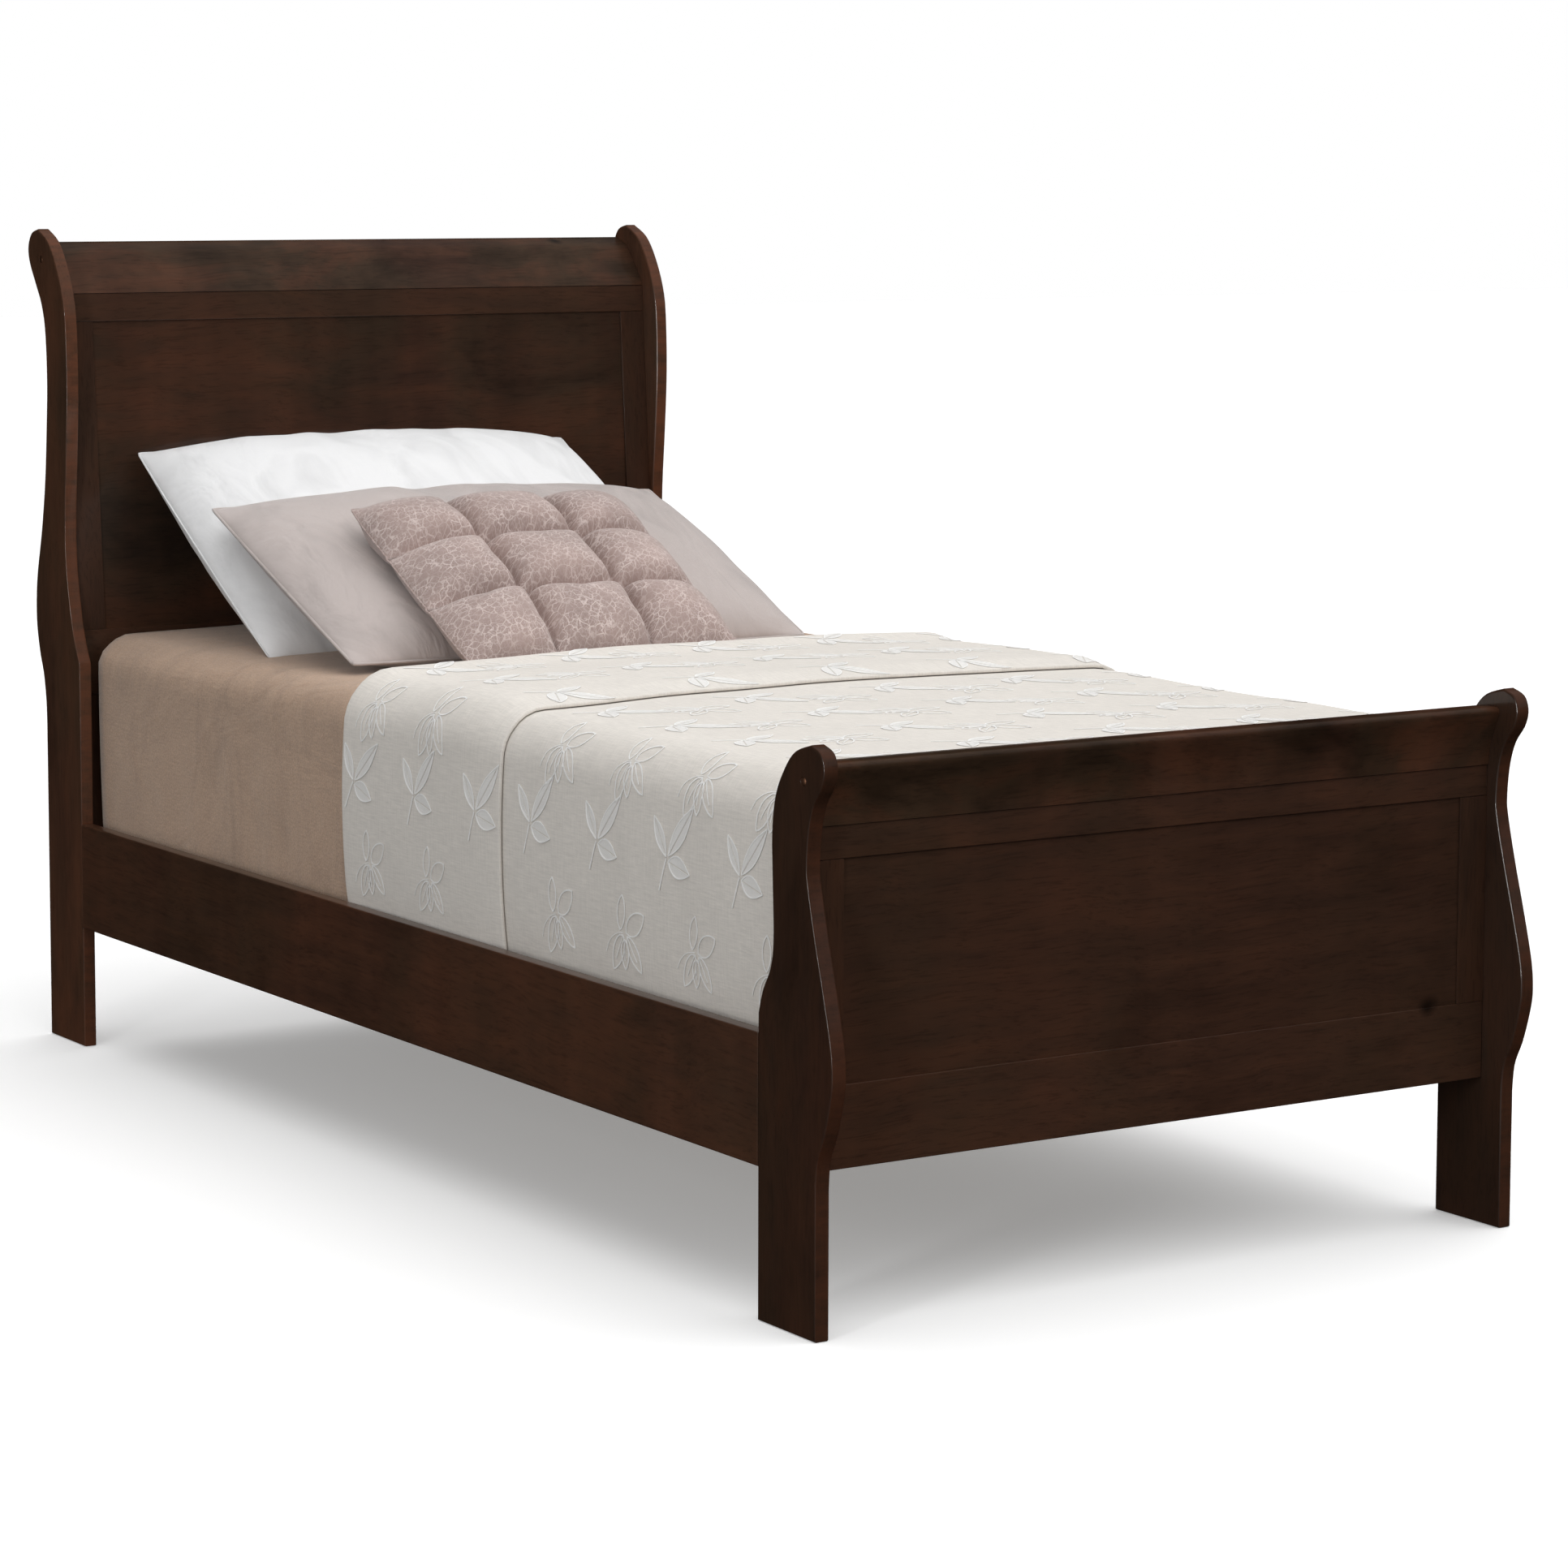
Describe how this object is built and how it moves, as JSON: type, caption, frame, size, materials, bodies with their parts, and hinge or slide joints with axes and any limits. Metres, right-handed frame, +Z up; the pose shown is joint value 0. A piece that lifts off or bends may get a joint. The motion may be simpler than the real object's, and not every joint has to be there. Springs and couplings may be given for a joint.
{
  "type": "sleigh bed",
  "caption": "Single sleigh bed with scrolled head and foot ends, framed panels, side rails and slats, dressed with mattress, fitted sheet, turned-down coverlet, pillows and tufted cushion.",
  "frame": {"origin": "on the floor under the middle of the bed's overall box", "axes": "+X across the bed, +Y along it towards the head end, +Z up; left is -X"},
  "size_m": [1.08, 2.2773, 1.263],
  "materials": {
    "stained_wood": "dark espresso stain under satin lacquer, edges rubbed brighter",
    "slat_wood": "bare softwood, sanded",
    "steel": "zinc-plated sheet steel",
    "bronze_screw": "dark bronze screw head",
    "ticking": "woven cotton ticking",
    "tan_sheet": "tan brushed knit sheet",
    "ivory_cover": "pale slub linen with leaf sprigs woven in",
    "white_cotton": "plain white cotton",
    "taupe_satin": "taupe satin weave, soft sheen",
    "mauve_fabric": "mauve-brown jacquard with a fine pale crackle"
  },
  "bodies": {
    "bed_frame": {"foot_bottom_rail": "stained_wood", "foot_bracket_left": "steel", "foot_bracket_left_end_screw": "steel", "foot_bracket_left_side_screw": "steel", "foot_bracket_right": "steel", "foot_bracket_right_end_screw": "steel", "foot_bracket_right_side_screw": "steel", "foot_crest_rail": "stained_wood", "foot_crest_screw_left": "bronze_screw", "foot_crest_screw_right": "bronze_screw", "foot_panel": "stained_wood", "foot_post_left": "stained_wood", "foot_post_right": "stained_wood", "foot_stile_left": "stained_wood", "foot_stile_right": "stained_wood", "foot_top_rail": "stained_wood", "head_bottom_rail": "stained_wood", "head_bracket_left": "steel", "head_bracket_left_end_screw": "steel", "head_bracket_left_side_screw": "steel", "head_bracket_right": "steel", "head_bracket_right_end_screw": "steel", "head_bracket_right_side_screw": "steel", "head_crest_rail": "stained_wood", "head_crest_screw_left": "bronze_screw", "head_crest_screw_right": "bronze_screw", "head_lower_panel": "stained_wood", "head_lower_stile_left": "stained_wood", "head_lower_stile_right": "stained_wood", "head_middle_rail": "stained_wood", "head_panel": "stained_wood", "head_post_left": "stained_wood", "head_post_right": "stained_wood", "head_stile_left": "stained_wood", "head_stile_right": "stained_wood", "head_top_rail": "stained_wood", "side_rail_left": "stained_wood", "side_rail_right": "stained_wood", "slat_01": "slat_wood", "slat_02": "slat_wood", "slat_03": "slat_wood", "slat_04": "slat_wood", "slat_05": "slat_wood", "slat_06": "slat_wood", "slat_07": "slat_wood", "slat_08": "slat_wood", "slat_09": "slat_wood", "slat_10": "slat_wood", "slat_11": "slat_wood", "slat_12": "slat_wood", "slat_cleat_left": "slat_wood", "slat_cleat_right": "slat_wood"},
    "dressed_mattress": {"mattress": "ticking", "fitted_sheet": "tan_sheet", "coverlet": "ivory_cover"},
    "white_pillow": {"pillow_white": "white_cotton"},
    "taupe_pillow": {"pillow_taupe": "taupe_satin"},
    "tufted_cushion": {"cushion_tufted": "mauve_fabric"}
  },
  "joints": [
    {"name": "mattress_lift", "type": "slide", "parent": "bed_frame", "child": "dressed_mattress", "axis": [0, 0, 1], "range_m": [0, 0.4]},
    {"name": "white_pillow_lift", "type": "slide", "parent": "dressed_mattress", "child": "white_pillow", "axis": [0, 0, 1], "range_m": [0, 0.3]},
    {"name": "taupe_pillow_lift", "type": "slide", "parent": "white_pillow", "child": "taupe_pillow", "axis": [0, 0, 1], "range_m": [0, 0.3]},
    {"name": "tufted_cushion_lift", "type": "slide", "parent": "taupe_pillow", "child": "tufted_cushion", "axis": [0, 0, 1], "range_m": [0, 0.3]}
  ]
}
